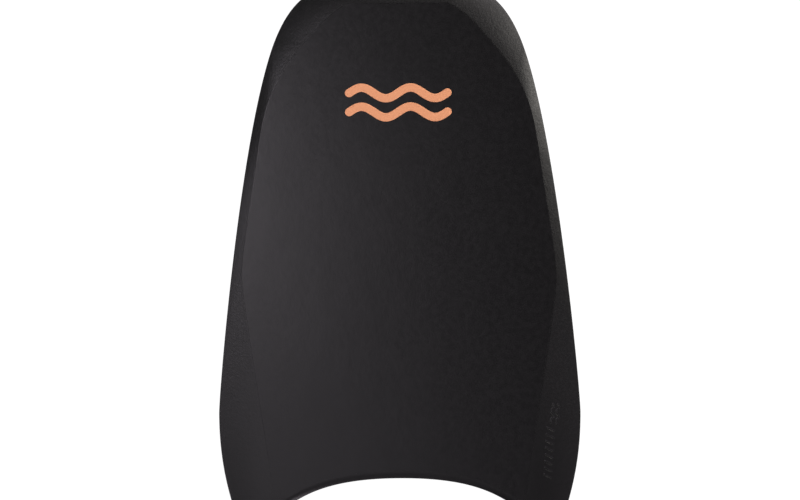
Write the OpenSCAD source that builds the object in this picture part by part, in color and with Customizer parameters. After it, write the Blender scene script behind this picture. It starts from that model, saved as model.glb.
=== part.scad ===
// Kickboard float: a swimmer's training board laminated from closed-cell foam.
// The board lies flat. X runs across it, +Y points to the nose and +Z is up through the
// front deck. The origin is the middle of the board's rectangle, on the surface it lies on.

/* [Board] */
// Length from the nose to the two tail tips
board_length = 430; // [350:1:520]
// Width across the hips, the widest place
board_width = 285; // [235:1:345]
// Thickness over both deck sheets
board_thickness = 35; // [28:0.5:44]

/* [Nose and shoulders] */
// How far the nose corner stands in from the hip line
nose_corner_inset = 67.5; // [60:0.5:80]
// How far the nose corner lies behind the nose
nose_corner_setback = 18; // [12:0.5:24]
// How far the shoulder stands in from the hip line
shoulder_inset = 42.5; // [34:0.5:50]
// How far the shoulder lies behind the nose
shoulder_setback = 59.5; // [48:0.5:70]

/* [Hips and tail] */
// Distance of the hips from the tail tips
hip_height = 84.5; // [70:0.5:105]
// Height above the tail tips at which the sides turn in to them
tail_bend_height = 11.5; // [9.5:0.5:14]
// How far a tail tip stands in from the hip line
tail_tip_inset = 21.5; // [18:0.5:26]
// Depth of the body notch between the tail tips
notch_depth = 33; // [26:0.5:42]

/* [Layers] */
// Thickness of each outer foam layer
face_layer = 11.5; // [9.5:0.1:15]
// Thickness of each smooth deck sheet
deck_sheet = 1; // [0.8:0.1:1.5]
// How far a deck sheet stands proud of the bevels at the nose and sides
deck_lip = 0.8; // [0.5:0.05:0.95]

/* [Bevels] */
// Width of the bevel in the middle of the nose
nose_band = 23; // [18:0.5:28]
// How much narrower the bevel is at the ends of its straight stretch along the nose
nose_pinch = 1.6; // [1:0.1:2.2]
// Width of the bevel at the nose corners
corner_band = 23; // [18:0.5:28]
// How much narrower the bevel is half way to the shoulders
shoulder_pinch = 1; // [0:0.1:2.5]
// Width of the bevel just below the shoulders
flank_band = 7.7; // [6:0.1:9.5]
// How much wider the bevel is at the shoulders
shoulder_flare = 0.4; // [0.2:0.1:0.6]
// Width of the bevel at the waist, where the deck is widest
waist_band = 8.5; // [6:0.1:11]
// Width of the rolled rim around the body notch
notch_band = 6; // [4.5:0.1:8]
// How much wider the roll-off is on the tail lobes
lobe_flare = 11; // [9:0.5:13]
// Drop of the board's edge below the deck at the nose
nose_drop = 9.5; // [7:0.1:11.5]
// Drop of the board's edge below the deck at the shoulders
shoulder_drop = 4.4; // [3:0.1:5]
// Drop of the board's edge below the deck at the waist
waist_drop = 2.8; // [1.5:0.1:4]
// Drop of the board's edge below the deck at the hips
hip_drop = 4.2; // [2:0.1:6]
// Drop of the board's edge below the deck on the tail lobes
lobe_drop = 2.2; // [1:0.1:3]
// Drop of the board's edge below the deck in the body notch
notch_drop = 1; // [0.3:0.1:1.5]
// How far the middle of the bevel bulges around the nose, as a share of its drop
nose_crown = 0.14; // [0:0.01:0.2]
// How far the middle of the bevel bulges along the sides, as a share of its drop
flank_crown = 0.03; // [0:0.01:0.2]
// Radius that rounds the board's edge
edge_round = 1.2; // [0.9:0.1:2.5]

/* [Print] */
// Width of the wave mark
mark_width = 84; // [60:1:100]
// Distance of the mark's middle from the nose
mark_setback = 101; // [92:1:125]
// Distance between the middles of the two waves
mark_pitch = 15; // [14:0.5:20]
// Height of a wave from its middle line to its crest
wave_rise = 4.2; // [2:0.1:5]
// Breadth of the ribbon at the middle of a wave
ribbon_breadth = 7; // [4:0.1:7.5]
// Number of crests in a wave
wave_count = 2; // [1:1:3]
// Thickness of the printed film
film = 0.2; // [0.1:0.05:0.4]

/* [Hidden] */

half_width = board_width / 2;
nose_y = board_length / 2;
tail_y = -board_length / 2;
core_thickness = board_thickness - 2 * face_layer - 2 * deck_sheet;
core_floor = deck_sheet + face_layer;
front_floor = core_floor + core_thickness;
seat_floor = board_thickness - deck_sheet;

// Half outline of the board, from the middle of the nose clockwise to the middle of the notch.
// A station is [point, heading in degrees outward from straight tailward, handle before it,
// handle after it]. A handle is a share of the distance to the neighbouring station.
OUTLINE = [
    [[0, nose_y], 90, 0, 0.58],
    [[half_width - nose_corner_inset, nose_y - nose_corner_setback], 51, 0.23, 0.35],
    [[half_width - shoulder_inset, nose_y - shoulder_setback], 18.5, 0.29, 0.28],
    [[half_width, tail_y + hip_height], 0, 0.055, 0.5],
    [[half_width - 0.5 * tail_tip_inset, tail_y + tail_bend_height], -16, 0.18, 0.42],
    [[half_width - tail_tip_inset, tail_y], -90, 0.26, 0.29],
    [[0, tail_y + notch_depth], -90, 0.72, 0],
];

// Half outline of a deck sheet. Its stations have the same form, and each lies a band's width
// inside the board's outline.
DECK = [
    [inside(0, nose_band), 90, 0, 0.33],
    [inside(0.305, nose_band - nose_pinch), 90, 0.33, 0.3],
    [inside(0.67, corner_band), 53, 0.7, 0.33],
    [inside(1.69, corner_band - shoulder_pinch), 41, 0.33, 0.33],
    [inside(2.148, flank_band + shoulder_flare), 18, 0.33, 0.33],
    [inside(2.262, flank_band), 8, 0.33, 0.42],
    [inside(2.534, waist_band), 0, 0.16, 0.085],
    [inside(5.365, notch_band + lobe_flare), -7, 0.24, 0.5],
    [inside(5.455, notch_band), -117, 0.5, 0],
];

// Outline parameter across from each place on the deck's edge, as [place, parameter]. Places
// count the deck's stations, and the last one is the middle of the notch.
RULED = [[0, 0], [1, 0.305], [2, 0.67], [3, 1.69], [4, 2.148], [5, 2.262], [6, 2.534],
    [6.5, 3], [7, 4], [7.5, 5], [8, 5.455], [9, 6]];
// Number of strips in the stretch after each deck station. Even numbers meet the half places.
STRIPS = [3, 5, 7, 6, 4, 7, 14, 14, 9];
// Steps of the quarter circle that rounds the board's edge, in degrees
ROUND_STEPS = [0, 30, 60, 90];
// Steps across the bevel, as shares of the way from the rounded edge to the deck
BEVEL_STEPS = [0.25, 0.5, 0.75];
// Crown at which a bevel runs into the deck without a crease
FLUSH_CROWN = 0.25;

ring_places = [for (k = [0:len(STRIPS) - 1]) each [for (j = [0:STRIPS[k] - 1]) k + j / STRIPS[k]],
    len(STRIPS)];
half_count = len(ring_places) - 1;
ring_count = 2 * half_count;

// Direction of a heading.
function heading(a) = [sin(a), -cos(a)];

// Point at t on the cubic curve with four control points.
function cubic(p, t) = pow(1 - t, 3) * p[0] + 3 * pow(1 - t, 2) * t * p[1]
    + 3 * (1 - t) * t * t * p[2] + pow(t, 3) * p[3];

// Direction of travel at t on the same curve, not of unit length.
function cubic_slope(p, t) = pow(1 - t, 2) * (p[1] - p[0]) + 2 * (1 - t) * t * (p[2] - p[1])
    + t * t * (p[3] - p[2]);

// Control points of the stretch between two stations.
function stretch(a, b) = let (reach = norm(b[0] - a[0]))
    [a[0], a[0] + a[3] * reach * heading(a[1]), b[0] - b[2] * reach * heading(b[1]), b[0]];

// Stretch of a chain of stations that holds parameter s, and the place along it.
function leg(s, chain) = min(floor(s), len(chain) - 2);
function along(chain, s) = let (k = leg(s, chain)) cubic(stretch(chain[k], chain[k + 1]), s - k);
function travel(chain, s) = let (k = leg(s, chain)) cubic_slope(stretch(chain[k], chain[k + 1]), s - k);

// Point a band's width inside the board's outline, square to it.
function inside(s, band) = let (d = travel(OUTLINE, s)) along(OUTLINE, s) + band / norm(d) * [d[1], -d[0]];

// Soft step from 0 to 1 while k goes from a to b.
function ease(k, a, b) = let (u = min(max((k - a) / (b - a), 0), 1)) u * u * (3 - 2 * u);

// Points of the board's edge and of the deck's edge at place k. Around the notch the deck's
// edge keeps the notch band.
function board_edge(k) = along(OUTLINE, lookup(k, RULED));
function deck_edge(k) = k > len(DECK) - 1 ? inside(lookup(k, RULED), notch_band) : along(DECK, k);

// A closed ring from its right half: the left half is the mirror image.
function mirrored(p) = [for (j = [0:len(p) - 1]) j == 0 ? -p[j] : p[j]];
function closed(half) = concat(half, [for (i = [half_count - 1:-1:1]) mirrored(half[i])]);

// Height of the board's edge at place k: low at the nose, higher at the waist and the tail.
function edge_height(k) = board_thickness - nose_drop
    + (nose_drop - shoulder_drop) * ease(k, 2, 4.5)
    + (shoulder_drop - waist_drop) * ease(k, 4.5, 6)
    + (waist_drop - hip_drop) * ease(k, 6, 6.5)
    + (hip_drop - lobe_drop) * ease(k, 6.5, 7.3)
    + (lobe_drop - notch_drop) * ease(k, 7.5, 8.6);

// Height of the bevel's inner line at place k. The sheet stands proud of it, and is let in
// flush at the tail.
function crease_height(k) = board_thickness - deck_lip * (1 - ease(k, 6.3, 7));

// Crown of the bevel at place k. Around the tail the bevel becomes a roll-off.
function crown(k) = nose_crown + (flank_crown - nose_crown) * ease(k, 3, 4.5)
    + (FLUSH_CROWN - flank_crown) * ease(k, 6.3, 7);

// Point of the bevel at place k, a share f of the way in from the board's edge.
function bevel_point(k, f) = let (outer = board_edge(k), low = edge_height(k))
    [each (outer + f * (deck_edge(k) - outer)),
        low + (crease_height(k) - low) * (f + 4 * crown(k) * f * (1 - f))];

// Radius of the edge at place k, limited by the wall of the outer layer.
function edge_radius(k) = min(edge_round, edge_height(k) - front_floor - 0.5);

// Share of the bevel that an edge turned by angle a takes up.
function edge_share(k, a) = edge_radius(k) * (1 - cos(a)) / norm(deck_edge(k) - board_edge(k));

// Point of the rounded edge at place k, turned by angle a from upright to the bevel.
function rounded_edge(k, a) = bevel_point(k, edge_share(k, a)) - [0, 0, edge_radius(k) * (1 - sin(a))];

// Foam sheet with the board's outline.
module foam_sheet(thickness) {
    linear_extrude(thickness) polygon(closed([for (k = ring_places) board_edge(k)]));
}

// Smooth sheet with the deck's outline.
module deck_skin() {
    linear_extrude(deck_sheet) polygon(closed([for (k = ring_places) deck_edge(k)]));
}

// Turns a piece of the front face over onto the back face.
module onto_back() {
    translate([0, 0, board_thickness]) mirror([0, 0, 1]) children();
}

// Closed solid through a stack of rings, from its floor to its top. Each flat end is cut into
// strips between the ring and a row of points down the middle line.
module ring_solid(rings) {
    ends = [rings[0], rings[len(rings) - 1]];
    spine_size = half_count - 1;
    spines = [for (r = ends, i = [1:spine_size])
        [0, r[0][1] + i / half_count * (r[half_count][1] - r[0][1]), r[0][2]]];
    spine_start = len(rings) * ring_count;
    top_start = (len(rings) - 1) * ring_count;

    // Index of the middle-line point across from ring point i. The line ends on the ring.
    function across(i, first, spine) = let (q = i > half_count ? ring_count - i : i)
        q == 0 ? first : q == half_count ? first + half_count : spine + q - 1;
    function end_strips(first, spine) = [for (i = [0:ring_count - 1]) let (
            a = first + i,
            b = first + (i + 1) % ring_count,
            c = across(i + 1, first, spine),
            d = across(i, first, spine)
        ) each concat(b == c ? [] : [[a, b, c]], a == d ? [] : [[a, c, d]])];
    walls = [for (j = [0:len(rings) - 2], i = [0:ring_count - 1]) let (
            a = j * ring_count + i,
            b = j * ring_count + (i + 1) % ring_count
        ) each [[a, b, b + ring_count], [a, b + ring_count, a + ring_count]]];
    floor_strips = [for (t = end_strips(0, spine_start)) [t[2], t[1], t[0]]];

    polyhedron(
        points = concat([for (r = rings) each r], spines),
        faces = concat(walls, floor_strips, end_strips(top_start, spine_start + spine_size)),
        convexity = 4
    );
}

// Outer foam layer: upright wall, rounded edge, crowned bevel and the seat of a deck sheet.
module bevelled_layer() {
    ring_solid([
        closed([for (k = ring_places) [each board_edge(k), front_floor]]),
        for (a = ROUND_STEPS) closed([for (k = ring_places) rounded_edge(k, a)]),
        for (f = BEVEL_STEPS) closed([for (k = ring_places)
            let (e = edge_share(k, 90)) bevel_point(k, e + f * (1 - e))]),
        closed([for (k = ring_places) [each deck_edge(k), crease_height(k)]]),
        closed([for (k = ring_places) [each deck_edge(k), seat_floor]]),
    ]);
}

// One wave of the mark: a ribbon that narrows to a rounded point at each end.
module wave_ribbon() {
    steps = 24 * wave_count;
    function middle(f) = wave_rise * sin(360 * wave_count * f);
    function breadth(f) = ribbon_breadth * pow(sin(180 * f), 0.4);
    function side(f, way) = [mark_width * (f - 0.5), middle(f) + way * breadth(f) / 2];
    linear_extrude(film) polygon(concat(
        [for (i = [0:steps]) side(i / steps, 1)],
        [for (i = [steps - 1:-1:1]) side(i / steps, -1)]
    ));
}

module back_deck_sheet() {
    color([0.17, 0.17, 0.18]) onto_back() translate([0, 0, seat_floor]) deck_skin();
}

module back_layer() {
    color([0.13, 0.13, 0.14]) onto_back() bevelled_layer();
}

module core_layer() {
    color([0.15, 0.15, 0.16]) translate([0, 0, core_floor]) foam_sheet(core_thickness);
}

module front_layer() {
    color([0.13, 0.13, 0.14]) bevelled_layer();
}

module front_deck_sheet() {
    color([0.17, 0.17, 0.18]) translate([0, 0, seat_floor]) deck_skin();
}

module print_wave(side) {
    color([0.94, 0.55, 0.36])
        translate([0, nose_y - mark_setback + side * mark_pitch / 2, board_thickness]) wave_ribbon();
}

back_deck_sheet();
back_layer();
core_layer();
front_layer();
front_deck_sheet();
print_wave(1);  // print_wave_upper
print_wave(-1);  // print_wave_lower
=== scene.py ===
"""Looks of a laminated foam kickboard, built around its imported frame.

The board lies flat: +X runs across it, +Y to its nose and +Z up out of its front deck. Every
surface is a function of a place around the board's edge and a step across it, worked out as
whole arrays, so the bevels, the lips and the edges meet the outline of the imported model.
"""

from __future__ import annotations

import logging
import math
from dataclasses import dataclass
from enum import Enum
from typing import ClassVar

import bmesh
import bpy
import numpy as np
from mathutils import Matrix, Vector

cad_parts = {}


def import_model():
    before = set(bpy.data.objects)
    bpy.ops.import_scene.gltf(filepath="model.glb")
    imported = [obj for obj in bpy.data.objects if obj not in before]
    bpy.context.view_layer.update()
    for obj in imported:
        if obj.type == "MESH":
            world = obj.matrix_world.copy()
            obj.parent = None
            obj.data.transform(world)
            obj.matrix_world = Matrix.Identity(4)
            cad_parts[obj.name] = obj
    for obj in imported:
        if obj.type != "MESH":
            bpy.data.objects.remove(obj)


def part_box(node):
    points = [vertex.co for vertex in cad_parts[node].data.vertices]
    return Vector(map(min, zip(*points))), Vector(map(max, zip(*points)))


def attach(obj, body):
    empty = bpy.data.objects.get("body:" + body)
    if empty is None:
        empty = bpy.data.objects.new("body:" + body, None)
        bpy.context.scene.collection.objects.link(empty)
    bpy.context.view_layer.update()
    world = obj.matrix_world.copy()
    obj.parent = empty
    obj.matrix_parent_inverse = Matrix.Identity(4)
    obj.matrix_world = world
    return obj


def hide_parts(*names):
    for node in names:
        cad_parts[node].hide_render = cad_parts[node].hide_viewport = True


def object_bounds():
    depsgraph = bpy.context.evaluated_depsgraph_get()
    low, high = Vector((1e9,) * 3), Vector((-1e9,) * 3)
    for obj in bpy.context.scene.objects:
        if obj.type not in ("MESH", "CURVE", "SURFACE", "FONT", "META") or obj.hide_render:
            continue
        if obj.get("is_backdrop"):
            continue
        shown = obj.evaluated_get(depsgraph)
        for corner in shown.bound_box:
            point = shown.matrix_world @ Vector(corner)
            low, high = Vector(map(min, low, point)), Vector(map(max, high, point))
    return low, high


LOG = logging.getLogger("kickboard")
MM = 0.001
MERGE_GAP = 1e-6
SHARP_ANGLE = math.radians(50)
ROOT = "root"

Colour = tuple[float, float, float]


class Face(Enum):
    """Face of the board that a piece belongs to."""

    FRONT = "front"
    BACK = "back"


def soft_step(value: np.ndarray, start: float, end: float) -> np.ndarray:
    """Rise from 0 to 1 as 3u^2 - 2u^3, where u is the share of the way from start to end.

    Args:
        value: places to evaluate.
        start: place where the rise begins.
        end: place where it is complete.

    Returns:
        The share at each place, from 0 to 1.
    """
    u = np.clip((value - start) / (end - start), 0.0, 1.0)
    return u * u * (3.0 - 2.0 * u)


@dataclass(frozen=True)
class Station:
    """A point that a chain passes through, the heading there and its two handles.

    The heading is in degrees outward from straight tailward. A handle is a share of the
    distance to the neighbouring station.
    """

    x: float
    y: float
    heading: float
    before: float
    after: float


class Chain:
    """Smooth line through stations, with one cubic for each stretch between two of them."""

    def __init__(self, stations: list[Station]) -> None:
        """Work out the control points of every stretch.

        Args:
            stations: the stations in order.
        """
        points = np.array([(s.x, s.y) for s in stations])
        turn = np.radians([s.heading for s in stations])
        way = np.stack([np.sin(turn), -np.cos(turn)], axis=1)
        reach = np.linalg.norm(np.diff(points, axis=0), axis=1)[:, None]
        after = np.array([s.after for s in stations])[:-1, None]
        before = np.array([s.before for s in stations])[1:, None]
        ahead = points[:-1] + after * reach * way[:-1]
        behind = points[1:] - before * reach * way[1:]
        self.controls = np.stack([points[:-1], ahead, behind, points[1:]], axis=1)

    def _stretch(self, s: np.ndarray) -> tuple[np.ndarray, np.ndarray]:
        """Control points of the stretch that holds each parameter, and the place along it."""
        k = np.clip(np.floor(s).astype(int), 0, len(self.controls) - 1)
        return self.controls[k], (s - k)[:, None]

    def at(self, s: np.ndarray) -> np.ndarray:
        """Points at parameters s: the Bernstein sum of each stretch's four control points.

        Args:
            s: parameters, where station number n is at s = n.

        Returns:
            Array of shape (len(s), 2).
        """
        c, t = self._stretch(s)
        u = 1.0 - t
        return u**3 * c[:, 0] + 3 * u * u * t * c[:, 1] + 3 * u * t * t * c[:, 2] + t**3 * c[:, 3]

    def inward(self, s: np.ndarray) -> np.ndarray:
        """Unit vectors square to the line and into the board, from the cubic's derivative.

        Args:
            s: parameters, as in at().

        Returns:
            Array of shape (len(s), 2).
        """
        c, t = self._stretch(s)
        u = 1.0 - t
        first, middle, last = c[:, 1] - c[:, 0], c[:, 2] - c[:, 1], c[:, 3] - c[:, 2]
        way = u * u * first + 2 * u * t * middle + t * t * last
        way /= np.linalg.norm(way, axis=1)[:, None]
        return np.stack([way[:, 1], -way[:, 0]], axis=1)


@dataclass
class BoardPlan:
    """The board's edge, the deck's edge inside it, and the heights between them.

    Places run from 0 in the middle of the nose, clockwise past each deck station, to 9 in the
    middle of the body notch. The left half is the mirror image of the right half. An inset is
    measured in from the hip line, a setback from the nose and a height from the tail tips. A
    band is the bevel's width, and a drop is the edge's distance below the deck.

    RULED holds the outline's parameter across from each of PLACES, and STRIPS the number of
    strips from each whole place to the next.
    """

    half_width: float
    half_length: float
    nose_corner_inset: float = 67.5 * MM
    nose_corner_setback: float = 18 * MM
    shoulder_inset: float = 42.5 * MM
    shoulder_setback: float = 59.5 * MM
    hip_height: float = 84.5 * MM
    tail_bend_height: float = 11.5 * MM
    tail_tip_inset: float = 21.5 * MM
    notch_depth: float = 33 * MM
    nose_band: float = 23 * MM
    nose_pinch: float = 1.6 * MM
    corner_band: float = 23 * MM
    shoulder_pinch: float = 1 * MM
    flank_band: float = 7.7 * MM
    shoulder_flare: float = 0.4 * MM
    waist_band: float = 8.5 * MM
    notch_band: float = 6 * MM
    lobe_flare: float = 11 * MM
    nose_drop: float = 9.5 * MM
    shoulder_drop: float = 4.4 * MM
    waist_drop: float = 2.8 * MM
    hip_drop: float = 4.2 * MM
    lobe_drop: float = 2.2 * MM
    notch_drop: float = 1.0 * MM
    lip: float = 0.8 * MM
    nose_crown: float = 0.14
    flank_crown: float = 0.03
    flush_crown: float = 0.25

    LAST: ClassVar[float] = 9.0
    PLACES: ClassVar[tuple[float, ...]] = (0, 1, 2, 3, 4, 5, 6, 6.5, 7, 7.5, 8, 9)
    RULED: ClassVar[tuple[float, ...]] = (
        0, 0.305, 0.67, 1.69, 2.148, 2.262, 2.534, 3, 4, 5, 5.455, 6,
    )
    STRIPS: ClassVar[tuple[int, ...]] = (3, 5, 7, 6, 4, 7, 14, 14, 9)

    def __post_init__(self) -> None:
        """Lay out the chain of the board's edge and that of the deck's edge."""
        hip, nose, tail = self.half_width, self.half_length, -self.half_length
        corner_x, corner_y = hip - self.nose_corner_inset, nose - self.nose_corner_setback
        shoulder_x, shoulder_y = hip - self.shoulder_inset, nose - self.shoulder_setback
        self.outline = Chain([
            Station(0, nose, 90, 0, 0.58),
            Station(corner_x, corner_y, 51, 0.23, 0.35),
            Station(shoulder_x, shoulder_y, 18.5, 0.29, 0.28),
            Station(hip, tail + self.hip_height, 0, 0.055, 0.5),
            Station(hip - self.tail_tip_inset / 2, tail + self.tail_bend_height, -16, 0.18, 0.42),
            Station(hip - self.tail_tip_inset, tail, -90, 0.26, 0.29),
            Station(0, tail + self.notch_depth, -90, 0.72, 0),
        ])
        self.deck = Chain([
            self._inside(0, self.nose_band, 90, 0, 0.33),
            self._inside(0.305, self.nose_band - self.nose_pinch, 90, 0.33, 0.3),
            self._inside(0.67, self.corner_band, 53, 0.7, 0.33),
            self._inside(1.69, self.corner_band - self.shoulder_pinch, 41, 0.33, 0.33),
            self._inside(2.148, self.flank_band + self.shoulder_flare, 18, 0.33, 0.33),
            self._inside(2.262, self.flank_band, 8, 0.33, 0.42),
            self._inside(2.534, self.waist_band, 0, 0.16, 0.085),
            self._inside(5.365, self.notch_band + self.lobe_flare, -7, 0.24, 0.5),
            self._inside(5.455, self.notch_band, -117, 0.5, 0),
        ])

    def _inside(self, s: float, band: float, heading: float, before: float, after: float) -> Station:
        """Station a band's width inside the board's edge, square to it.

        Args:
            s: parameter of the outline.
            band: distance from the edge.
            heading: the station's heading.
            before: its handle towards the nose.
            after: its handle towards the tail.

        Returns:
            The station.
        """
        where = np.array([s], float)
        x, y = (self.outline.at(where) + band * self.outline.inward(where))[0]
        return Station(float(x), float(y), heading, before, after)

    def edge(self, k: np.ndarray) -> np.ndarray:
        """Points of the board's edge across from places k, on the right half."""
        return self.outline.at(np.interp(k, self.PLACES, self.RULED))

    def deck_edge(self, k: np.ndarray) -> np.ndarray:
        """Points of the deck's edge. Around the notch it lies a band inside the board's edge.

        Args:
            k: places.

        Returns:
            Array of shape (len(k), 2).
        """
        s = np.interp(k, self.PLACES, self.RULED)
        rim = self.outline.at(s) + self.notch_band * self.outline.inward(s)
        return np.where((k > self.LAST - 1)[:, None], rim, self.deck.at(np.minimum(k, self.LAST - 1)))

    def edge_drop(self, k: np.ndarray) -> np.ndarray:
        """Drop of the board's edge: soft steps from one drop to the next, nose to notch.

        Args:
            k: places.

        Returns:
            The drop at each place.
        """
        drop = self.nose_drop + (self.shoulder_drop - self.nose_drop) * soft_step(k, 2, 4.5)
        drop += (self.waist_drop - self.shoulder_drop) * soft_step(k, 4.5, 6)
        drop += (self.hip_drop - self.waist_drop) * soft_step(k, 6, 6.5)
        drop += (self.lobe_drop - self.hip_drop) * soft_step(k, 6.5, 7.3)
        return drop + (self.notch_drop - self.lobe_drop) * soft_step(k, 7.5, 8.6)

    def crown(self, k: np.ndarray) -> np.ndarray:
        """Bulge of the bevel's middle, as a share of its drop: two soft steps, full at the tail."""
        crown = self.nose_crown + (self.flank_crown - self.nose_crown) * soft_step(k, 3, 4.5)
        return crown + (self.flush_crown - self.flank_crown) * soft_step(k, 6.3, 7)

    def lip_height(self, k: np.ndarray) -> np.ndarray:
        """Height that the deck stands proud of the bevel's inner line, fading at the tail."""
        return self.lip * (1.0 - soft_step(k, 6.3, 7))

    def spine_share(self, k: np.ndarray) -> np.ndarray:
        """Share of the middle line across from places k: the strips passed, out of all strips."""
        steps = np.concatenate([[0], np.cumsum(self.STRIPS)])
        return np.interp(k, np.arange(len(steps)), steps / steps[-1])


class Ring:
    """Columns of a surface that runs once around the board, clockwise from the nose."""

    def __init__(self, plan: BoardPlan, per_strip: int, relief: np.ndarray | None = None) -> None:
        """Place the columns.

        Args:
            plan: the board's plan.
            per_strip: number of columns in each of the plan's strips.
            relief: further places on the right half, where it carries fine relief.
        """
        strips = [
            np.linspace(i, i + 1, n * per_strip, endpoint=False) for i, n in enumerate(plan.STRIPS)
        ]
        half = np.concatenate([*strips, [plan.LAST]])
        right = half if relief is None else np.union1d(half, relief)
        self.plan = plan
        self.k = np.concatenate([right, half[-2:0:-1]])
        self.side = np.where(np.arange(len(self.k)) < len(right), 1.0, -1.0)
        self.across = half[np.searchsorted(half, self.k, side="right") - 1]
        self.edge = self._both(plan.edge(self.k))
        self.deck = self._both(plan.deck_edge(self.k))
        self.band = np.linalg.norm(self.deck - self.edge, axis=1)

    def _both(self, points: np.ndarray) -> np.ndarray:
        """The points, with those of the left half mirrored."""
        return points * np.stack([self.side, np.ones_like(self.side)], axis=1)

    def inside(self, inset: np.ndarray | float) -> np.ndarray:
        """Points a distance inside the board's edge, towards the deck's edge."""
        return self.edge + (inset / self.band)[:, None] * (self.deck - self.edge)

    def spine(self, rim: np.ndarray) -> np.ndarray:
        """Points down the middle line across from a rim. Columns of relief share a point.

        Args:
            rim: one point for each column.

        Returns:
            Array of the rim's shape.
        """
        nose, notch = rim[0, 1], rim[np.argmax(self.k), 1]
        y = nose + self.plan.spine_share(self.across) * (notch - nose)
        return np.stack([np.zeros_like(y), y], axis=1)


def rows_to_grid(flat: list[np.ndarray], heights: list[np.ndarray]) -> np.ndarray:
    """Stack rows of plan points and their heights into one grid.

    Args:
        flat: for each row, an array of shape (columns, 2).
        heights: for each row, an array of shape (columns,) or a single number.

    Returns:
        Array of shape (rows, columns, 3).
    """
    rows = [
        np.column_stack([xy, np.broadcast_to(z, len(xy))]) for xy, z in zip(flat, heights, strict=True)
    ]
    return np.stack(rows)


def skin_object(
    name: str, grid: np.ndarray, masks: dict[str, np.ndarray] | None = None
) -> bpy.types.Object:
    """Make a closed piece from a grid whose columns run around it and whose rows end in seams.

    Face (i, j) joins rows i and i + 1 and columns j and j + 1, and the last column joins the
    first. The first and last rows fold onto a line, whose doubled points are merged.

    Args:
        name: name of the object and its mesh.
        grid: array of shape (rows, columns, 3), running outwards and down on the front face.
        masks: point attributes by name, each of shape (rows, columns).

    Returns:
        The new object, with smooth faces that point outwards.
    """
    rows, columns = grid.shape[:2]
    index = np.arange(rows * columns).reshape(rows, columns)
    nxt = np.roll(index, -1, axis=1)
    quads = np.stack([index[:-1], index[1:], nxt[1:], nxt[:-1]], axis=-1).reshape(-1, 4)
    mesh = bpy.data.meshes.new(name)
    mesh.from_pydata(grid.reshape(-1, 3), [], quads)
    for mask_name, values in (masks or {}).items():
        layer = mesh.attributes.new(mask_name, "FLOAT", "POINT")
        layer.data.foreach_set("value", values.astype(np.float32).ravel())
    work = bmesh.new()
    work.from_mesh(mesh)
    bmesh.ops.remove_doubles(work, verts=work.verts, dist=MERGE_GAP)
    bmesh.ops.dissolve_degenerate(work, edges=work.edges, dist=MERGE_GAP)
    bmesh.ops.recalc_face_normals(work, faces=work.faces)
    work.to_mesh(mesh)
    work.free()
    mesh.polygons.foreach_set("use_smooth", np.ones(len(mesh.polygons), bool))
    mesh.set_sharp_from_angle(angle=SHARP_ANGLE)
    piece = bpy.data.objects.new(name, mesh)
    bpy.context.scene.collection.objects.link(piece)
    return piece


def onto_face(grid: np.ndarray, face: Face, thickness: float) -> np.ndarray:
    """Turn a grid of the front face over onto the back face, or leave it.

    Args:
        grid: array of shape (rows, columns, 3).
        face: face that the grid is for.
        thickness: thickness of the board over both decks.

    Returns:
        The grid, with z replaced by thickness - z on the back face.
    """
    if face is Face.FRONT:
        return grid
    turned = grid.copy()
    turned[..., 2] = thickness - turned[..., 2]
    return turned


class Nodes:
    """Short way to add shader nodes to a tree and link them."""

    def __init__(self, tree: bpy.types.NodeTree) -> None:
        """Keep the tree.

        Args:
            tree: node tree of a material or a group.
        """
        self.tree = tree

    def feed(self, node: bpy.types.Node, links: dict) -> None:
        """Link or set a node's inputs.

        Args:
            node: the node.
            links: input name or number to an output socket to link, or a value to set.
        """
        for key, value in links.items():
            if isinstance(value, bpy.types.NodeSocket):
                self.tree.links.new(value, node.inputs[key])
            else:
                node.inputs[key].default_value = value

    def add(self, kind: str, links: dict | None = None, **settings) -> bpy.types.Node:
        """Add a node.

        Args:
            kind: the node's type name.
            links: inputs to link or set, as in feed().
            **settings: properties of the node.

        Returns:
            The new node.
        """
        node = self.tree.nodes.new(kind)
        for key, value in settings.items():
            setattr(node, key, value)
        self.feed(node, links or {})
        return node

    def math(self, operation: str, a: object, b: object = 0.0) -> bpy.types.NodeSocket:
        """Output of a Math node on two sockets or numbers."""
        return self.add("ShaderNodeMath", {0: a, 1: b}, operation=operation).outputs[0]

    def mask(self, name: str) -> bpy.types.NodeSocket:
        """Output of a point attribute, which is 0 on a piece that doesn't carry it."""
        return self.add("ShaderNodeAttribute", attribute_name=name).outputs["Fac"]

    def span(
        self, value: object, low: float, high: float, to_low: float, to_high: float
    ) -> bpy.types.NodeSocket:
        """Carry a value, clamped, from one span to another.

        Args:
            value: socket or number.
            low: start of its span.
            high: end of its span.
            to_low: what low becomes.
            to_high: what high becomes.

        Returns:
            Output of the Map Range node.
        """
        links = {
            "Value": value, "From Min": low, "From Max": high, "To Min": to_low, "To Max": to_high,
        }
        return self.add("ShaderNodeMapRange", links).outputs["Result"]

    def noise(self, links: dict) -> bpy.types.NodeSocket:
        """Output of a Noise Texture node."""
        return self.add("ShaderNodeTexNoise", links).outputs["Fac"]

    def blend(self, share: bpy.types.NodeSocket, start: Colour, end: Colour) -> bpy.types.NodeSocket:
        """Output of a Mix node that goes from one colour to another."""
        links = {0: share, 6: (*start, 1), 7: (*end, 1)}
        return self.add("ShaderNodeMix", links, data_type="RGBA").outputs[2]

    def relief(self, height: bpy.types.NodeSocket) -> bpy.types.NodeSocket:
        """Normal of a Bump node on a height in metres."""
        links = {"Height": height, "Strength": 1.0, "Distance": 1.0}
        return self.add("ShaderNodeBump", links).outputs["Normal"]


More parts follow.
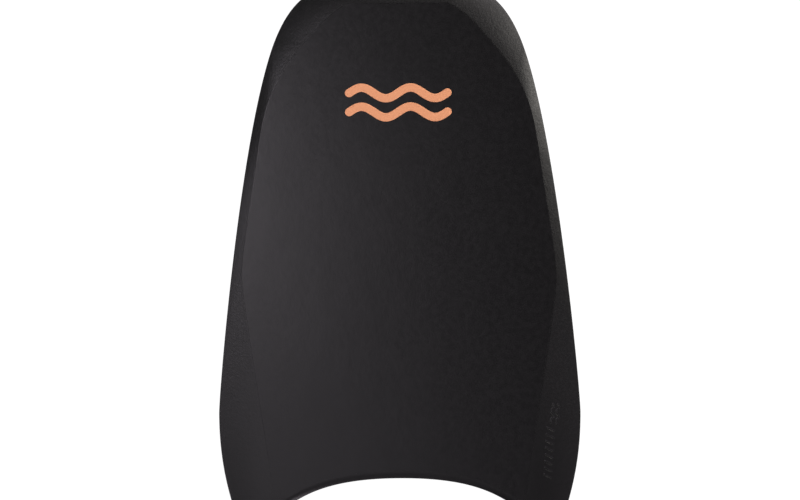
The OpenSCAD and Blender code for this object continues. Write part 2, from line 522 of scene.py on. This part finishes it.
def blank_material(name: str) -> tuple[bpy.types.Material, Nodes, bpy.types.Node]:
    """Make a material with nothing but its shader.

    Args:
        name: the material's name.

    Returns:
        The material, its nodes and its Principled shader.
    """
    material = bpy.data.materials.new(name)
    material.use_nodes = True
    return material, Nodes(material.node_tree), material.node_tree.nodes["Principled BSDF"]


def make_group(
    name: str, inputs: dict[str, tuple[str, object]], outputs: dict[str, str]
) -> bpy.types.NodeTree:
    """Make an empty shader group with named sockets.

    Args:
        name: the group's name.
        inputs: socket name to its type and default value.
        outputs: socket name to its type.

    Returns:
        The group, with its input and output nodes in place.
    """
    group = bpy.data.node_groups.new(name, "ShaderNodeTree")
    for label, (kind, value) in inputs.items():
        socket = group.interface.new_socket(name=label, in_out="INPUT", socket_type=kind)
        if value is not None:
            socket.default_value = value
    for label, kind in outputs.items():
        group.interface.new_socket(name=label, in_out="OUTPUT", socket_type=kind)
    group.nodes.new("NodeGroupInput")
    group.nodes.new("NodeGroupOutput")
    return group


class Effects:
    """Shader groups that several finishes share. Each is built once."""

    FINE_PER_CELL: ClassVar[float] = 2.6
    BROAD_PER_CELL: ClassVar[float] = 0.42
    FLECKS_PER_CLOUD: ClassVar[float] = 9.0

    def __init__(self) -> None:
        """Build the groups."""
        self.grain = self._grain()
        self.mottle = self._mottle()

    def _grain(self) -> bpy.types.NodeTree:
        """Mould grain: rounded pebbles, with a fine tooth on them and broad lumps under them.

        Returns:
            The group.
        """
        group = make_group(
            "Foam grain",
            {
                "Vector": ("NodeSocketVector", None),
                "Cells per metre": ("NodeSocketFloat", 600.0),
                "Tooth": ("NodeSocketFloat", 0.4),
                "Lumps": ("NodeSocketFloat", 1.0),
            },
            {"Height": "NodeSocketFloat", "Pits": "NodeSocketFloat"},
        )
        n = Nodes(group)
        given = group.nodes["Group Input"].outputs
        place, scale = given["Vector"], given["Cells per metre"]
        pebbles = {"Vector": place, "Scale": scale, "Smoothness": 0.5}
        cells = n.add("ShaderNodeTexVoronoi", pebbles, feature="SMOOTH_F1").outputs["Distance"]
        fine, broad = (
            {"Vector": place, "Scale": n.math("MULTIPLY", scale, factor), "Detail": 2.0}
            for factor in (self.FINE_PER_CELL, self.BROAD_PER_CELL)
        )
        tooth = n.math("MULTIPLY", n.noise(fine), given["Tooth"])
        lumps = n.math("MULTIPLY", n.noise(broad), given["Lumps"])
        pebble = n.span(cells, 0.05, 0.75, 1.0, 0.0)
        height = n.math("ADD", n.math("ADD", pebble, tooth), lumps)
        pits = n.span(cells, 0.4, 0.8, 0.0, 1.0)
        n.feed(group.nodes["Group Output"], {"Height": height, "Pits": pits})
        return group

    def _mottle(self) -> bpy.types.NodeTree:
        """Soft cloudy variation of pressed foam, in two sizes.

        Returns:
            The group.
        """
        group = make_group(
            "Press mottle",
            {"Vector": ("NodeSocketVector", None), "Clouds per metre": ("NodeSocketFloat", 30.0)},
            {"Cloud": "NodeSocketFloat", "Fleck": "NodeSocketFloat"},
        )
        n = Nodes(group)
        given = group.nodes["Group Input"].outputs
        place, scale = given["Vector"], given["Clouds per metre"]
        clouds = {"Vector": place, "Scale": scale, "Detail": 3.0, "Roughness": 0.55}
        finer = n.math("MULTIPLY", scale, self.FLECKS_PER_CLOUD)
        flecks = {"Vector": place, "Scale": finer, "Detail": 2.0}
        cloud = n.span(n.noise(clouds), 0.3, 0.7, 0.0, 1.0)
        fleck = n.span(n.noise(flecks), 0.35, 0.65, 0.0, 1.0)
        n.feed(group.nodes["Group Output"], {"Cloud": cloud, "Fleck": fleck})
        return group

    def grained(self, n: Nodes, cells_per_metre: float, lumps: float) -> bpy.types.NodeOutputs:
        """Place the grain on a piece's own coordinates.

        Args:
            n: the material's nodes.
            cells_per_metre: pebbles in a metre.
            lumps: height of the broad lumps, in pebbles.

        Returns:
            The group's outputs.
        """
        place = n.add("ShaderNodeTexCoord").outputs["Object"]
        links = {"Vector": place, "Cells per metre": cells_per_metre, "Lumps": lumps}
        return n.add("ShaderNodeGroup", links, node_tree=self.grain).outputs

    def mottled(self, n: Nodes, clouds_per_metre: float) -> bpy.types.NodeOutputs:
        """Place the mottle on a piece's own coordinates.

        Args:
            n: the material's nodes.
            clouds_per_metre: clouds in a metre.

        Returns:
            The group's outputs.
        """
        place = n.add("ShaderNodeTexCoord").outputs["Object"]
        links = {"Vector": place, "Clouds per metre": clouds_per_metre}
        return n.add("ShaderNodeGroup", links, node_tree=self.mottle).outputs


@dataclass(frozen=True)
class FoamFinish:
    """Closed-cell foam: dark, pebbled and nearly matt.

    Where the point attribute smooth rises to 1, the grain fades to skin_grain of its depth and
    the roughness goes to skin_roughness, as on foam that a mould has pressed to a skin.
    """

    name: str
    dark: Colour
    light: Colour
    roughness: tuple[float, float] = (0.46, 0.56)
    skin_roughness: float = 0.34
    skin_grain: float = 0.25
    cells_per_metre: float = 620.0
    clouds_per_metre: float = 30.0
    grain_depth: float = 0.05 * MM
    lumps: float = 3.4

    def material(self, effects: Effects) -> bpy.types.Material:
        """Build the finish.

        Args:
            effects: the shared shader groups.

        Returns:
            The material.
        """
        made, n, shader = blank_material(self.name)
        smooth = n.mask("smooth")
        grain = effects.grained(n, self.cells_per_metre, self.lumps)
        mottle = effects.mottled(n, self.clouds_per_metre)
        tone = n.math("MULTIPLY", n.math("ADD", mottle["Cloud"], mottle["Fleck"]), 0.5)
        pitted = n.span(grain["Pits"], 0.0, 1.0, *self.roughness)
        rough = n.add("ShaderNodeMix", {0: smooth, 2: pitted, 3: self.skin_roughness}).outputs[0]
        kept = n.span(smooth, 0.0, 1.0, 1.0, self.skin_grain)
        height = n.math("MULTIPLY", n.math("MULTIPLY", grain["Height"], kept), self.grain_depth)
        colour = n.blend(tone, self.dark, self.light)
        n.feed(shader, {"Base Color": colour, "Roughness": rough, "Normal": n.relief(height)})
        return made


@dataclass(frozen=True)
class SkinFinish:
    """Smooth moulded skin of the deck: satin, with soft waves, flecks and a very fine tooth.

    The point attribute rim marks the cut edge around the skin, which is matt.
    """

    name: str
    dark: Colour
    light: Colour
    roughness: tuple[float, float] = (0.31, 0.35)
    rim_roughness: float = 0.9
    clouds_per_metre: float = 26.0
    tooth_per_metre: float = 2600.0
    tooth_depth: float = 0.012 * MM
    wave_depth: float = 0.1 * MM
    fleck_depth: float = 0.013 * MM

    def material(self, effects: Effects) -> bpy.types.Material:
        """Build the finish.

        Args:
            effects: the shared shader groups.

        Returns:
            The material.
        """
        made, n, shader = blank_material(self.name)
        mottle = effects.mottled(n, self.clouds_per_metre)
        tone = n.math("MULTIPLY", n.math("ADD", mottle["Cloud"], mottle["Fleck"]), 0.5)
        satin = n.span(mottle["Fleck"], 0.0, 1.0, *self.roughness)
        rough = n.math("MAXIMUM", satin, n.math("MULTIPLY", n.mask("rim"), self.rim_roughness))
        place = n.add("ShaderNodeTexCoord").outputs["Object"]
        teeth = {"Vector": place, "Scale": self.tooth_per_metre, "Detail": 2.0}
        tooth = n.math("MULTIPLY", n.noise(teeth), self.tooth_depth)
        waves = n.math("MULTIPLY", mottle["Cloud"], self.wave_depth)
        flecks = n.math("MULTIPLY", mottle["Fleck"], self.fleck_depth)
        height = n.math("ADD", n.math("ADD", tooth, waves), flecks)
        colour = n.blend(tone, self.dark, self.light)
        n.feed(shader, {"Base Color": colour, "Roughness": rough, "Normal": n.relief(height)})
        return made


@dataclass(frozen=True)
class PrintFinish:
    """Transfer print: opaque ink with a faint unevenness."""

    name: str
    ink: Colour
    thin_ink: Colour
    roughness: tuple[float, float] = (0.5, 0.62)
    flecks_per_metre: float = 120.0
    fleck_depth: float = 0.01 * MM

    def material(self, effects: Effects) -> bpy.types.Material:
        """Build the finish.

        Args:
            effects: the shared shader groups.

        Returns:
            The material.
        """
        made, n, shader = blank_material(self.name)
        fleck = effects.mottled(n, self.flecks_per_metre)["Fleck"]
        colour = n.blend(fleck, self.ink, self.thin_ink)
        rough = n.span(fleck, 0.0, 1.0, *self.roughness)
        normal = n.relief(n.math("MULTIPLY", fleck, self.fleck_depth))
        n.feed(shader, {"Base Color": colour, "Roughness": rough, "Normal": normal})
        return made


@dataclass
class SunkPattern:
    """Pattern sunk into the right hip: two small waves, and a row of slanted dashes below.

    PLACES along the edge and SHARES of the bevel's width are where the layer's mesh is made
    fine enough to hold it.
    """

    wave_start: tuple[float, float] = (122.5 * MM, -124.5 * MM)
    wave_length: float = 15 * MM
    wave_crests: int = 2
    wave_rise: float = 1.1 * MM
    wave_pitch: float = 4.2 * MM
    dash_start: tuple[float, float] = (118.5 * MM, -144 * MM)
    dash_end: tuple[float, float] = (116 * MM, -181 * MM)
    dash_count: int = 8
    dash_half: float = 3.0 * MM
    slant: float = math.radians(24)
    stroke: float = 0.55 * MM
    depth: float = 0.22 * MM
    soft: float = 0.6 * MM

    PLACES: ClassVar[np.ndarray] = np.linspace(6.5, 6.98, 210)
    SHARES: ClassVar[np.ndarray] = np.linspace(0.38, 0.9, 64)

    def _bar(self, points: np.ndarray, middle: np.ndarray, way: np.ndarray, half: float) -> np.ndarray:
        """Distance of points to a straight bar: to its nearest point between the two ends.

        Args:
            points: array of shape (..., 2).
            middle: the bar's middle.
            way: unit vector along it.
            half: half its length.

        Returns:
            Array of shape (...).
        """
        offset = points - middle
        run = np.clip(offset @ way, -half, half)
        return np.linalg.norm(offset - run[..., None] * way, axis=-1)

    def _wave(self, points: np.ndarray, start: np.ndarray, way: np.ndarray) -> np.ndarray:
        """Distance of points to a sine line: the miss over sqrt(1 + slope^2), and the way past an end.

        Args:
            points: array of shape (..., 2).
            start: the line's first point.
            way: unit vector along its middle line.

        Returns:
            Array of shape (...).
        """
        side = np.array([-way[1], way[0]])
        offset = points - start
        along = np.clip(offset @ way, 0, self.wave_length)
        turn = 2 * math.pi * self.wave_crests / self.wave_length
        miss = offset @ side - self.wave_rise * np.sin(turn * along)
        slope = self.wave_rise * turn * np.cos(turn * along)
        past = offset @ way - along
        return np.hypot(miss / np.sqrt(1 + slope**2), past)

    def sunk(self, points: np.ndarray) -> np.ndarray:
        """Depth of the pattern at points: a soft step of the distance to the nearest stroke.

        Args:
            points: array of shape (..., 2).

        Returns:
            Depth in metres at each point, zero outside the strokes.
        """
        start = np.array(self.dash_start)
        run = np.array(self.dash_end) - start
        way = run / np.linalg.norm(run)
        side = np.array([-way[1], way[0]])
        lean = math.cos(self.slant) * side + math.sin(self.slant) * way
        near = [
            self._bar(points, start + share * run, lean, self.dash_half)
            for share in np.linspace(0, 1, self.dash_count)
        ]
        near += [
            self._wave(points, np.array(self.wave_start) + offset * side, way)
            for offset in (-self.wave_pitch / 2, self.wave_pitch / 2)
        ]
        distance = np.min(near, axis=0)
        inner, outer = self.stroke - self.soft / 2, self.stroke + self.soft / 2
        return self.depth * (1 - soft_step(distance, inner, outer))


@dataclass
class BevelledLayer:
    """Outer foam layer: seat, crowned bevel, rounded edge and upright wall to the glue line."""

    plan: BoardPlan
    face: Face
    thickness: float
    floor: float
    seat: float
    pattern: SunkPattern | None = None
    edge_round: float = 1.2 * MM
    least_wall: float = 0.5 * MM
    groove: float = 0.35 * MM
    side_skin: float = 0.4
    bevel_rows: int = 30
    round_rows: int = 8
    wall_rows: int = 5

    def _bevel_steps(self) -> np.ndarray:
        """Shares of the way in from the rounded edge at which the bevel's rows lie.

        Returns:
            The shares, inmost first.
        """
        steps = np.linspace(0, 1, self.bevel_rows + 1)
        if self.pattern:
            steps = np.union1d(steps, self.pattern.SHARES)
        return steps[-2::-1]

    def _skinned(self, k: np.ndarray) -> np.ndarray:
        """Share of moulded skin at places k: 0 at the nose, side_skin on the sides, 1 at the tail."""
        tail_skin = 1 - self.side_skin
        return self.side_skin * soft_step(k, 3, 4.2) + tail_skin * soft_step(k, 6.3, 7)

    def build(self) -> bpy.types.Object:
        """Build the layer's mesh.

        Rows run from the middle of the seat out to its wall, up to the bevel's inner line,
        down the bevel, round the edge and down the wall to the groove at the glue line. A
        share f of the way in from the edge, the bevel has risen by drop times
        f + 4 crown f (1 - f). The edge is an arc that touches both the bevel and the wall.

        Returns:
            The new object.
        """
        plan = self.plan
        ring = Ring(plan, per_strip=4, relief=self.pattern.PLACES if self.pattern else None)
        everywhere = np.ones(len(ring.k))
        top = self.thickness - plan.lip_height(ring.k)
        edge_z = self.thickness - plan.edge_drop(ring.k)
        bulge = 4 * plan.crown(ring.k)
        slope = np.arctan2((1 + bulge) * (top - edge_z), ring.band)
        radius = np.minimum(self.edge_round, edge_z - self.floor - self.least_wall)
        touch = radius * np.tan((math.pi / 2 - slope) / 2)
        start = touch * np.cos(slope)
        start_z = edge_z + touch * np.sin(slope)
        skinned = self._skinned(ring.k)
        cut = np.zeros_like(everywhere)

        rows = [
            (ring.spine(ring.deck), self.seat * everywhere, everywhere),
            (ring.deck, self.seat * everywhere, everywhere),
            (ring.deck, top, everywhere),
        ]
        for f in self._bevel_steps():
            rise = (f + bulge * f * (1 - f)) * (top - start_z)
            rows.append((ring.inside(start + f * (ring.band - start)), start_z + rise, skinned))
        bevel = slice(3, len(rows))
        for share in np.linspace(1, 0, self.round_rows + 1)[1:]:
            phi = share * (math.pi / 2 - slope)
            z = edge_z - touch + radius * np.sin(phi)
            rows.append((ring.inside(radius * (1 - np.cos(phi))), z, skinned))
        wall_top, wall_foot = edge_z - touch, self.floor + self.groove
        for share in np.linspace(0, 1, self.wall_rows + 1)[1:]:
            rows.append((ring.edge, wall_top + share * (wall_foot - wall_top), cut))
        for phi in np.radians([45.0, 90.0]):
            z = wall_foot - self.groove * math.sin(phi)
            rows.append((ring.inside(self.groove * (1 - math.cos(phi))), z * everywhere, cut))
        rows.append((ring.spine(ring.edge), self.floor * everywhere, cut))

        flat, heights, smooth = zip(*rows, strict=True)
        grid = rows_to_grid(flat, heights)
        if self.pattern:
            grid[bevel, :, 2] -= self.pattern.sunk(grid[bevel, :, :2])
        grid = onto_face(grid, self.face, self.thickness)
        return skin_object(f"{self.face.value}_foam", grid, {"smooth": np.stack(smooth)})


@dataclass
class CoreLayer:
    """Middle foam layer: an upright wall, eased in at both glue lines.

    EASE is the rounding at a glue line, as depths and insets in grooves.
    """

    plan: BoardPlan
    floor: float
    roof: float
    groove: float = 0.35 * MM

    EASE: ClassVar[tuple[tuple[float, float], ...]] = ((0, 1), (0.3, 1 - math.sqrt(0.5)), (1, 0))

    def build(self) -> bpy.types.Object:
        """Build the layer's mesh. Rows run from the roof's middle line out, down and back in.

        Returns:
            The new object.
        """
        ring = Ring(self.plan, per_strip=4)
        depths, eases = zip(*self.EASE, strict=True)
        top = [self.roof - depth * self.groove for depth in depths]
        foot = [self.floor + depth * self.groove for depth in depths[::-1]]
        levels = [*top, *np.linspace(top[-1], foot[0], 4)[1:3], *foot]
        insets = [*eases, 0.0, 0.0, *eases[::-1]]
        flat = [ring.spine(ring.edge)]
        heights = [self.roof]
        for share, level in zip(insets, levels, strict=True):
            flat.append(ring.inside(share * self.groove))
            heights.append(level)
        flat.append(ring.spine(ring.edge))
        heights.append(self.floor)
        return skin_object("core_foam", rows_to_grid(flat, heights))


@dataclass
class DeckSheet:
    """Smooth skin that lies in the seat of an outer layer, with a finely rounded lip.

    The collar is a narrow row just inside the lip. It keeps the lip's turn from bending the
    shading of the wide, flat rows within.
    """

    plan: BoardPlan
    face: Face
    thickness: float
    seat: float
    lip_round: float = 0.16 * MM
    least_round: float = 0.02 * MM
    collar: float = 0.15 * MM
    rows: int = 40
    lip_rows: int = 4

    def build(self) -> bpy.types.Object:
        """Build the sheet's mesh.

        Rows run from the middle line to the collar and the lip, round it as a quarter circle
        whose radius fades with the lip, and down its side to the seat. The attribute rim is 0
        on the flat rows and 1 on all that follow.

        Returns:
            The new object.
        """
        ring = Ring(self.plan, per_strip=5)
        lip = self.plan.lip_height(ring.k)
        radius = np.clip(lip, self.least_round, self.lip_round)
        spine = ring.spine(ring.deck)
        length = np.linalg.norm(ring.deck - spine, axis=1)
        reach = np.maximum(length, MM)
        flat, heights = [], []
        shares = np.append(np.linspace(0, 1, self.rows - 1), 1.0)
        margins = np.zeros(self.rows)
        margins[-2] = self.collar
        for share, margin in zip(shares, margins, strict=True):
            inset = np.where(length > 0, (radius + margin) / reach, 0.0)
            flat.append(spine + (share * (1 - inset))[:, None] * (ring.deck - spine))
            heights.append(np.full(len(ring.k), self.thickness))
        for phi in np.linspace(0, math.pi / 2, self.lip_rows + 1)[1:]:
            inset = np.where(length > 0, radius * (1 - math.sin(phi)) / reach, 0.0)
            flat.append(spine + (1 - inset)[:, None] * (ring.deck - spine))
            heights.append(self.thickness - radius * (1 - math.cos(phi)))
        flat += [ring.deck, spine]
        heights += [np.full(len(ring.k), self.seat)] * 2
        grid = onto_face(rows_to_grid(flat, heights), self.face, self.thickness)
        rim = np.zeros(grid.shape[:2])
        rim[self.rows:] = 1.0
        return skin_object(f"{self.face.value}_deck_skin", grid, {"rim": rim})


@dataclass
class WavePrint:
    """Printed wave: a ribbon along a sine, with round ends and softly rounded edges.

    SECTION is the ribbon from its middle line over the top and back underneath, as shares of
    half its breadth and of the film's thickness.
    """

    centre: Vector
    width: float
    rise: float
    film: float
    name: str
    breadth: float = 6.6 * MM
    crests: int = 2
    steps: int = 150
    end_steps: int = 16

    SECTION: ClassVar[tuple[tuple[float, float], ...]] = (
        (0, 1), (0.5, 1), (0.9, 1), (0.955, 0.9), (0.985, 0.62), (1, 0.3), (1, 0), (0, 0),
    )

    def build(self) -> bpy.types.Object:
        """Build the ribbon's mesh.

        The middle line is y = rise sin(2 pi crests f) for f from 0 to 1. Columns run once
        around the ribbon, half its breadth from the middle line, and rows run from the middle
        line out over the top, round the edge and back underneath.

        Returns:
            The new object.
        """
        f = np.linspace(0, 1, self.steps)
        run = self.width - self.breadth
        turns = 2 * math.pi * self.crests
        middle = np.stack([run * (f - 0.5), self.rise * np.sin(turns * f)], axis=1)
        angle = np.arctan2(self.rise * turns * np.cos(turns * f), run)
        cap = np.linspace(math.pi / 2, -math.pi / 2, self.end_steps + 2)[1:-1]
        centres = np.concatenate([
            middle,
            np.repeat(middle[-1:], self.end_steps, axis=0),
            middle[::-1],
            np.repeat(middle[:1], self.end_steps, axis=0),
        ])
        angles = np.concatenate([
            angle + math.pi / 2, angle[-1] + cap, angle[::-1] - math.pi / 2, angle[0] + math.pi + cap,
        ])
        out = np.stack([np.cos(angles), np.sin(angles)], axis=1) * self.breadth / 2
        origin = np.array([self.centre.x, self.centre.y])
        flat = [origin + centres + share * out for share, _ in self.SECTION]
        heights = [self.centre.z + level * self.film for _, level in self.SECTION]
        return skin_object(self.name, rows_to_grid(flat, heights))


@dataclass(frozen=True)
class Softbox:
    """Square soft light: where it stands, its watts, side, the point it faces and its tint."""

    name: str
    place: tuple[float, float, float]
    power: float
    side: float = 0.4
    aim: tuple[float, float, float] = (0.0, 0.0, 0.0)
    tint: Colour = (1.0, 1.0, 1.0)


class Studio:
    """Pale floor, soft light and a long-lens camera straight above the board."""

    FRAME_WIDTH: ClassVar[float] = 631 * MM
    FRAME_CENTRE: ClassVar[tuple[float, float]] = (0.8 * MM, -2.2 * MM)
    FRAME_DEPTH: ClassVar[float] = 7 * MM
    FRAME_TURN: ClassVar[float] = math.radians(-0.3)
    LENS: ClassVar[float] = 180.0
    SENSOR: ClassVar[float] = 36.0
    FLOOR_GAP: ClassVar[float] = 0.1 * MM
    FLOOR_HALF: ClassVar[float] = 6.0
    FLOOR_TONE: ClassVar[float] = 0.25
    FLOOR_GLOW: ClassVar[float] = 0.95
    WORLD_GLOW: ClassVar[float] = 0.07
    SOFTBOXES: ClassVar[tuple[Softbox, ...]] = (
        Softbox("key", (-0.3, 0.15, 0.55), 0.73, 0.2, (-0.18, 0.12, 0.0), (1.0, 0.93, 1.02)),
        Softbox("near_left", (-0.2, 0.0, 0.55), 0.14, 0.2, (-0.1, 0.0, 0.0), (1.0, 0.93, 1.0)),
        Softbox("over_waist", (-0.15, 0.05, 0.8), 0.15, 0.3, (-0.1, 0.04, 0.0), (1.0, 0.93, 1.0)),
        Softbox("over_tail", (-0.15, -0.25, 0.8), 0.235, 0.3, (-0.1, -0.2, 0.0), (1.0, 0.92, 1.02)),
        Softbox("left_lobe", (-0.5, -0.32, 0.8), 0.11, 0.25, (-0.13, -0.16, 0.0), (1.0, 0.93, 1.02)),
        Softbox("right_lobe", (0.5, -0.32, 0.8), 0.05, 0.25, (0.13, -0.16, 0.0), (1.0, 0.9, 1.04)),
        Softbox("low_nose", (0.68, 1.17, 0.36), 6.3, tint=(1.0, 0.93, 0.95)),
        Softbox("low_side", (1.22, 0.58, 0.36), 7.0, tint=(1.0, 0.96, 0.9)),
        Softbox("side", (0.99, 0.57, 0.8), 3.5, tint=(1.0, 0.96, 0.9)),
        Softbox("tail_side", (0.57, -0.99, 0.8), 6.4, tint=(1.0, 0.9, 1.0)),
        Softbox("tail_left", (-0.99, -0.57, 0.8), 2.0, tint=(1.0, 0.92, 1.0)),
    )

    def __init__(self, low: Vector, high: Vector) -> None:
        """Keep the board's box.

        Args:
            low: lowest corner of the board.
            high: highest corner of the board.
        """
        self.low, self.high = low, high

    def build(self) -> None:
        """Make the camera, the floor, the lights and the world."""
        self._camera()
        self._floor()
        self._lights()
        self._world()
        bpy.context.scene.view_settings.view_transform = "Standard"

    def _camera(self) -> None:
        """Camera straight above, whose frame is FRAME_WIDTH wide at FRAME_DEPTH below the top."""
        data = bpy.data.cameras.new("camera")
        data.sensor_width = self.SENSOR
        data.lens = self.LENS
        camera = bpy.data.objects.new("camera", data)
        distance = self.LENS / self.SENSOR * self.FRAME_WIDTH
        camera.location = (*self.FRAME_CENTRE, self.high.z - self.FRAME_DEPTH + distance)
        camera.rotation_euler = (0, 0, self.FRAME_TURN)
        bpy.context.scene.collection.objects.link(camera)
        bpy.context.scene.camera = camera

    def _floor(self) -> None:
        """Wide pale floor that glows, so that no shadow is left on it."""
        mesh = bpy.data.meshes.new("floor")
        half, z = self.FLOOR_HALF, self.low.z - self.FLOOR_GAP
        corners = [(-half, -half, z), (half, -half, z), (half, half, z), (-half, half, z)]
        mesh.from_pydata(corners, [], [(0, 1, 2, 3)])
        floor = bpy.data.objects.new("floor", mesh)
        bpy.context.scene.collection.objects.link(floor)
        paint, _, shader = blank_material("floor paint")
        shader.inputs["Base Color"].default_value = (*[self.FLOOR_TONE] * 3, 1)
        shader.inputs["Roughness"].default_value = 1.0
        shader.inputs["Specular IOR Level"].default_value = 0.0
        shader.inputs["Emission Color"].default_value = (1, 1, 1, 1)
        shader.inputs["Emission Strength"].default_value = self.FLOOR_GLOW
        mesh.materials.append(paint)
        floor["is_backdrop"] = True

    def _lights(self) -> None:
        """Turn each softbox into an area light that faces its aim."""
        for box in self.SOFTBOXES:
            data = bpy.data.lights.new(box.name, "AREA")
            data.shape = "SQUARE"
            data.size = box.side
            data.energy = box.power
            data.color = box.tint
            light = bpy.data.objects.new(box.name, data)
            light.location = box.place
            light.rotation_mode = "QUATERNION"
            facing = Vector(box.aim) - Vector(box.place)
            light.rotation_quaternion = facing.to_track_quat("-Z", "Y")
            bpy.context.scene.collection.objects.link(light)

    def _world(self) -> None:
        """Dim even surroundings."""
        world = bpy.data.worlds.new("surroundings")
        world.use_nodes = True
        background = world.node_tree.nodes["Background"]
        background.inputs["Color"].default_value = (1, 1, 1, 1)
        background.inputs["Strength"].default_value = self.WORLD_GLOW
        bpy.context.scene.world = world


class Kickboard:
    """The whole board: layers, deck sheets and prints, each dressed in its finish."""

    MOULDED_FOAM: ClassVar[FoamFinish] = FoamFinish(
        "moulded foam", dark=(0.0026, 0.0025, 0.0027), light=(0.0041, 0.0039, 0.0042)
    )
    CUT_FOAM: ClassVar[FoamFinish] = FoamFinish(
        "cut foam",
        dark=(0.006, 0.006, 0.0065),
        light=(0.009, 0.009, 0.0095),
        roughness=(0.5, 0.68),
        cells_per_metre=900.0,
        lumps=0.6,
    )
    DECK_SKIN: ClassVar[SkinFinish] = SkinFinish(
        "deck skin", dark=(0.0024, 0.0022, 0.0025), light=(0.0037, 0.0034, 0.0038)
    )
    INK: ClassVar[PrintFinish] = PrintFinish(
        "transfer print", ink=(0.96, 0.42, 0.203), thin_ink=(0.9, 0.383, 0.183)
    )
    WAVE_RISE: ClassVar[float] = 4.2 * MM

    def __init__(self) -> None:
        """Read the layers' heights and the board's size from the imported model."""
        core_low, core_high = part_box("core_layer")
        sheet_low, sheet_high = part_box("front_deck_sheet")
        self.core = (core_low.z, core_high.z)
        self.thickness = sheet_high.z
        self.seat = sheet_low.z
        self.plan = BoardPlan(half_width=core_high.x, half_length=core_high.y)
        self.effects = Effects()

    def _dress(
        self, piece: bpy.types.Object, material: bpy.types.Material, node: str
    ) -> None:
        """Give a piece its material, and say which node it stands for.

        Args:
            piece: the finished piece.
            material: its finish.
            node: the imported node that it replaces.
        """
        piece.data.materials.append(material)
        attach(piece, ROOT)
        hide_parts(node)
        LOG.info("%s: %d faces, stands for %s", piece.name, len(piece.data.polygons), node)

    def build(self) -> None:
        """Build and dress every piece, from the back to the front."""
        foam, cut_foam, skin, ink = (
            finish.material(self.effects)
            for finish in (self.MOULDED_FOAM, self.CUT_FOAM, self.DECK_SKIN, self.INK)
        )

        foam_pieces = []
        for face in (Face.BACK, Face.FRONT):
            sheet = DeckSheet(self.plan, face, self.thickness, self.seat).build()
            self._dress(sheet, skin, f"{face.value}_deck_sheet")
            pattern = SunkPattern() if face is Face.FRONT else None
            layer = BevelledLayer(
                self.plan, face, self.thickness, self.core[1], self.seat, pattern
            ).build()
            self._dress(layer, foam, f"{face.value}_layer")
            foam_pieces += [sheet, layer]
        core = CoreLayer(self.plan, *self.core).build()
        self._dress(core, cut_foam, "core_layer")
        for node in ("print_wave_upper", "print_wave_lower"):
            low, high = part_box(node)
            centre = Vector(((low.x + high.x) / 2, (low.y + high.y) / 2, low.z))
            wave = WavePrint(
                centre=centre,
                width=high.x - low.x,
                rise=self.WAVE_RISE,
                film=high.z - low.z,
                name=node.replace("print_", "ink_"),
            ).build()
            self._dress(wave, ink, node)


def main() -> None:
    """Load the frame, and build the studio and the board."""
    logging.basicConfig(level=logging.INFO, format="%(name)s: %(message)s")
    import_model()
    low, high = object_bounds()
    Studio(low, high).build()
    Kickboard().build()


if __name__ == "__main__":
    main()
